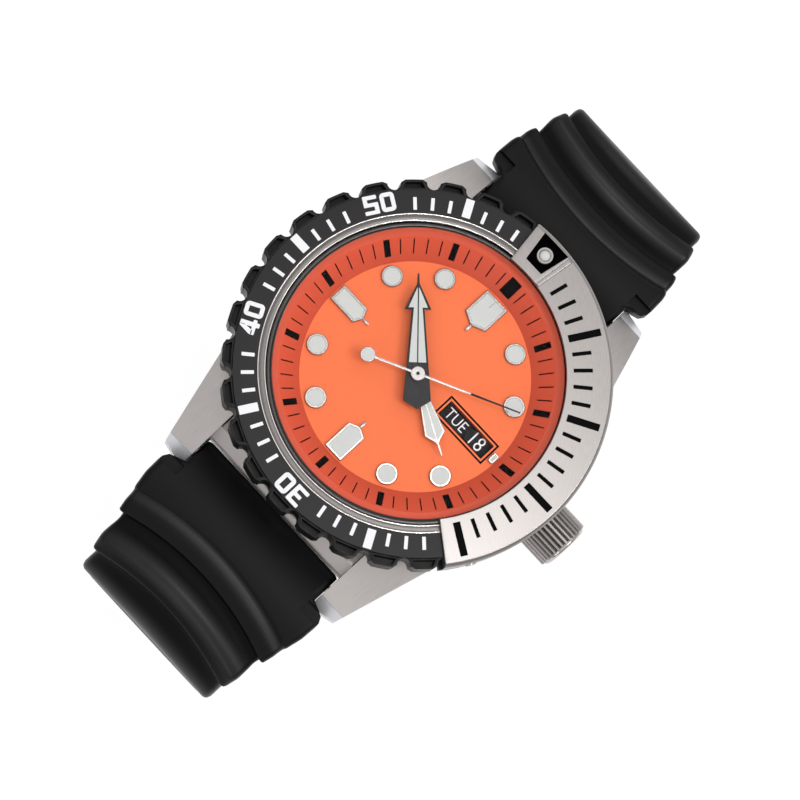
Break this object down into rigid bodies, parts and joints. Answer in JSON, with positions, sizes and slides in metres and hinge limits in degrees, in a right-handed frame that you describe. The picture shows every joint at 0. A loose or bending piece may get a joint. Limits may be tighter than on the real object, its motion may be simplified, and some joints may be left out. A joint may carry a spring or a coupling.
{
  "type": "dive watch",
  "caption": "Automatic dive watch with screw-back steel case, scalloped turning bezel with a raised steel sector, orange dial, working hands and gear train, and a rubber strap with pin buckle.",
  "frame": {"origin": "on the dial axis, at the outer face of the case back", "axes": "+Z out through the crystal, +Y to the 12 o'clock lugs, +X to the crown"},
  "size_m": [0.0488, 0.0828, 0.0661],
  "materials": {
    "case_steel": "brushed tops, polished flanks",
    "sector_steel": "satin with polished bevels",
    "crown_steel": "polished, fluted",
    "bezel_black": "satin black coating",
    "ring_grey": "satin dark grey",
    "strap_rubber": "matte",
    "gasket_rubber": "matte",
    "crystal_glass": "clear, polished",
    "dial_orange": "matte lacquer",
    "chapter_orange": "matte",
    "marker_silver": "polished",
    "hand_silver": "polished",
    "hand_black": "satin",
    "lume": "matte",
    "disc_black": "matte",
    "movement_ring_plastic": "matte",
    "plate_nickel": "nickel-gilt, fine grained",
    "bridge_nickel": "striped nickel",
    "wheel_brass": "gilt",
    "arbor_steel": "polished",
    "spring_steel": "blued",
    "rotor_metal": "brushed"
  },
  "bodies": {
    "head": {"case": "case_steel", "case_back": "case_steel", "crystal": "crystal_glass", "crystal_ring": "ring_grey", "chapter_ring": "chapter_orange", "dial": "dial_orange", "hour_markers": "marker_silver", "crown_tube": "arbor_steel", "bezel_click_spring": "spring_steel", "movement_ring": "movement_ring_plastic", "main_plate": "plate_nickel", "train_bridge": "bridge_nickel", "barrel_bridge": "bridge_nickel", "balance_cock": "bridge_nickel", "pallet_bridge": "bridge_nickel", "hairspring": "spring_steel", "rotor_bearing": "arbor_steel", "spring_bars": "arbor_steel"},
    "bezel": {"bezel_ring": "bezel_black", "bezel_sector": "sector_steel", "bezel_pip_cup": "marker_silver", "bezel_pip_bead": "lume"},
    "crown_carrier": {"crown_gasket": "gasket_rubber"},
    "crown_body": {"crown": "crown_steel", "winding_stem": "arbor_steel"},
    "minute_body": {"centre_wheel": "wheel_brass", "cannon_pinion": "arbor_steel", "minute_hand": "hand_black"},
    "hour_body": {"hour_wheel": "wheel_brass", "hour_hand": "hand_silver"},
    "minute_wheel_body": {"minute_wheel": "wheel_brass"},
    "third_body": {"third_wheel": "wheel_brass"},
    "fourth_body": {"fourth_wheel": "wheel_brass", "seconds_hand": "hand_black"},
    "escape_body": {"escape_wheel": "arbor_steel"},
    "barrel_body": {"barrel": "wheel_brass", "mainspring": "spring_steel"},
    "winding_body": {"barrel_arbor": "arbor_steel", "ratchet_wheel": "arbor_steel"},
    "pallet_body": {"pallet_fork": "arbor_steel"},
    "balance_body": {"balance_wheel": "wheel_brass"},
    "rotor_body": {"rotor": "rotor_metal"},
    "day_body": {"day_disc": "disc_black"},
    "date_body": {"date_disc": "disc_black"},
    "upper_strap": {"strap_upper": "strap_rubber", "keeper_fixed": "strap_rubber", "buckle_bar": "arbor_steel"},
    "lower_strap": {"strap_lower": "strap_rubber"},
    "buckle": {"buckle_frame": "case_steel"},
    "tongue": {"buckle_tongue": "case_steel"},
    "keeper": {"keeper_loose": "strap_rubber"}
  },
  "joints": [
    {"name": "bezel_turn", "type": "hinge", "parent": "head", "child": "bezel", "pos_m": [0, 0, 0.0114], "axis": [0, 0, 1], "continuous": true},
    {"name": "crown_pull", "type": "slide", "parent": "head", "child": "crown_carrier", "axis": [1, 0, 0], "range_m": [0, 0.0012]},
    {"name": "crown_turn", "type": "hinge", "parent": "crown_carrier", "child": "crown_body", "pos_m": [0.0238, 0, 0.0057], "axis": [1, 0, 0], "continuous": true},
    {"name": "minute_turn", "type": "hinge", "parent": "head", "child": "minute_body", "pos_m": [0, 0, 0.009], "axis": [0, 0, 1], "continuous": true},
    {"name": "hour_turn", "type": "hinge", "parent": "head", "child": "hour_body", "pos_m": [0, 0, 0.0095], "axis": [0, 0, 1], "continuous": true},
    {"name": "minute_wheel_turn", "type": "hinge", "parent": "head", "child": "minute_wheel_body", "pos_m": [-0.00103, -0.00282, 0.0082], "axis": [0, 0, 1], "continuous": true},
    {"name": "third_turn", "type": "hinge", "parent": "head", "child": "third_body", "pos_m": [0.00043, -0.00307, 0.006], "axis": [0, 0, 1], "continuous": true},
    {"name": "fourth_turn", "type": "hinge", "parent": "head", "child": "fourth_body", "pos_m": [0, 0, 0.0085], "axis": [0, 0, 1], "continuous": true},
    {"name": "escape_turn", "type": "hinge", "parent": "head", "child": "escape_body", "pos_m": [0.00262, 0.00163, 0.0058], "axis": [0, 0, 1], "continuous": true},
    {"name": "barrel_turn", "type": "hinge", "parent": "head", "child": "barrel_body", "pos_m": [-0.00485, 0.0028, 0.006], "axis": [0, 0, 1], "continuous": true},
    {"name": "winding_turn", "type": "hinge", "parent": "head", "child": "winding_body", "pos_m": [-0.00485, 0.0028, 0.005], "axis": [0, 0, 1], "continuous": true},
    {"name": "pallet_rock", "type": "hinge", "parent": "head", "child": "pallet_body", "pos_m": [0.00457, 0.00286, 0.0058], "axis": [0, 0, 1], "range_deg": [-6, 6]},
    {"name": "balance_swing", "type": "hinge", "parent": "head", "child": "balance_body", "pos_m": [0.00703, 0.00439, 0.0052], "axis": [0, 0, 1], "range_deg": [-150, 150], "stiffness_Nm_per_rad": 0.00000016},
    {"name": "rotor_turn", "type": "hinge", "parent": "head", "child": "rotor_body", "pos_m": [0, 0, 0.0038], "axis": [0, 0, 1], "continuous": true},
    {"name": "day_turn", "type": "hinge", "parent": "head", "child": "day_body", "pos_m": [0, 0, 0.0091], "axis": [0, 0, 1], "continuous": true},
    {"name": "date_turn", "type": "hinge", "parent": "head", "child": "date_body", "pos_m": [0, 0, 0.0091], "axis": [0, 0, 1], "continuous": true},
    {"name": "upper_strap_swing", "type": "hinge", "parent": "head", "child": "upper_strap", "pos_m": [0, 0.0232, 0.0026], "axis": [1, 0, 0], "range_deg": [0, 50]},
    {"name": "lower_strap_swing", "type": "hinge", "parent": "head", "child": "lower_strap", "pos_m": [0, -0.0232, 0.0026], "axis": [-1, 0, 0], "range_deg": [0, 50]},
    {"name": "buckle_swing", "type": "hinge", "parent": "upper_strap", "child": "buckle", "pos_m": [0, -0.0064, -0.0276], "axis": [1, 0, 0], "range_deg": [-45, 60]},
    {"name": "tongue_lift", "type": "hinge", "parent": "buckle", "child": "tongue", "pos_m": [0, -0.0064, -0.0276], "axis": [-1, 0, 0], "range_deg": [0, 60]},
    {"name": "keeper_slide", "type": "slide", "parent": "upper_strap", "child": "keeper", "axis": [0, 1, 0], "range_m": [-0.002, 0.004]}
  ],
  "couplings": [
    {"joint": "hour_turn", "follows": "minute_turn", "ratio": 0.083333},
    {"joint": "minute_wheel_turn", "follows": "minute_turn", "ratio": -0.33333},
    {"joint": "third_turn", "follows": "minute_turn", "ratio": -8},
    {"joint": "fourth_turn", "follows": "minute_turn", "ratio": 60},
    {"joint": "escape_turn", "follows": "minute_turn", "ratio": -420},
    {"joint": "barrel_turn", "follows": "minute_turn", "ratio": -0.16667}
  ]
}
